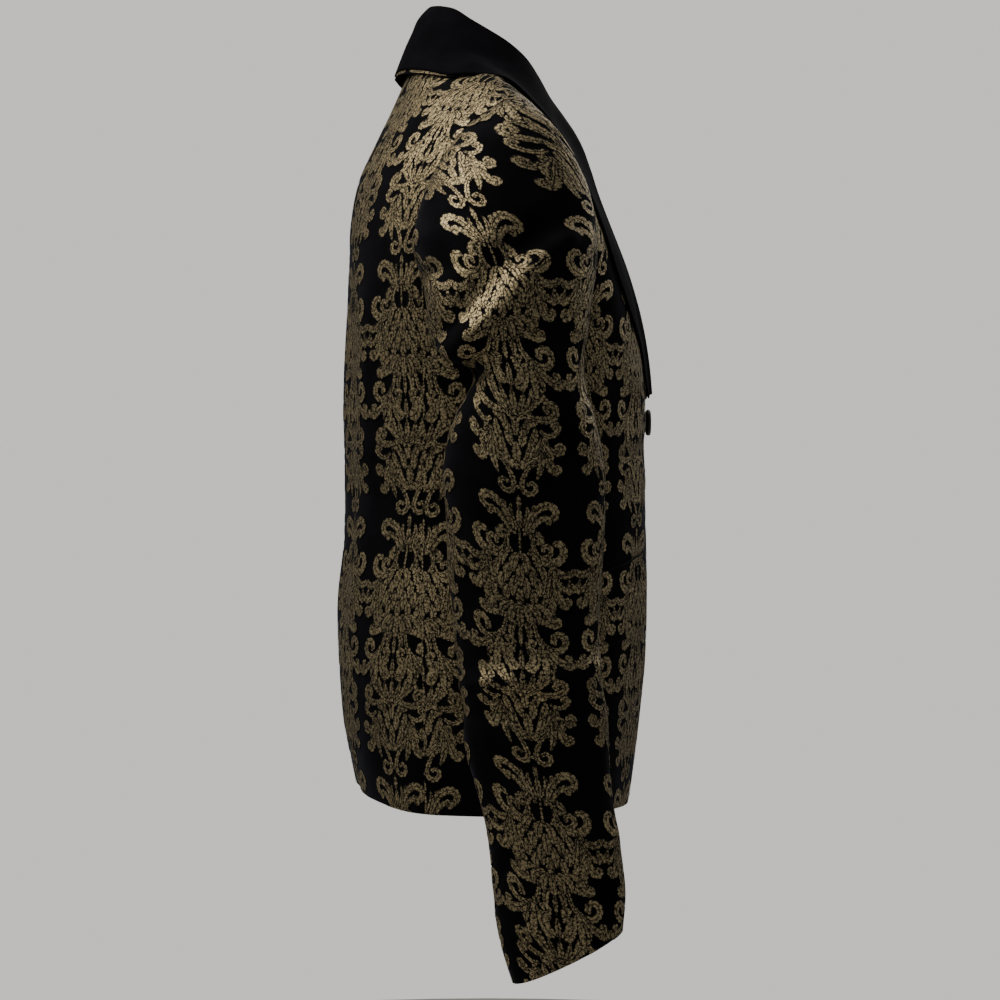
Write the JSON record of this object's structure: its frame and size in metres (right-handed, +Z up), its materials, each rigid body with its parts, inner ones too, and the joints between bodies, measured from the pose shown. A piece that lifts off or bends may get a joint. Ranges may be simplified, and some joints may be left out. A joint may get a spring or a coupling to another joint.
{
  "type": "blazer",
  "caption": "Tailored blazer in black velvet with a gold damask weave, a plain black shawl collar, flapped pockets and set-in sleeves, in its hollow worn shape.",
  "frame": {"origin": "middle of the neck opening, level with the neck ends of the shoulder seams", "axes": "+Z up along the worn garment, -Y to the wearer's front, +X to the wearer's left"},
  "size_m": [0.5552, 0.262, 0.7601],
  "materials": {
    "brocade": "black velvet ground with matt gold metallic damask figures",
    "collar_velvet": "plain black velvet pile",
    "button": "plain black, satin"
  },
  "bodies": {
    "root": {"back_right": "brocade", "side_right": "brocade", "front_right": "brocade", "upper_sleeve_right": "brocade", "under_sleeve_right": "brocade", "under_collar_right": "brocade", "pocket_flap_right": "brocade", "pocket_welt_right": "brocade", "shawl_collar_right": "collar_velvet", "back_left": "brocade", "side_left": "brocade", "front_left": "brocade", "upper_sleeve_left": "brocade", "under_sleeve_left": "brocade", "under_collar_left": "brocade", "pocket_flap_left": "brocade", "pocket_welt_left": "brocade", "shawl_collar_left": "collar_velvet", "front_button": "button"}
  },
  "joints": []
}
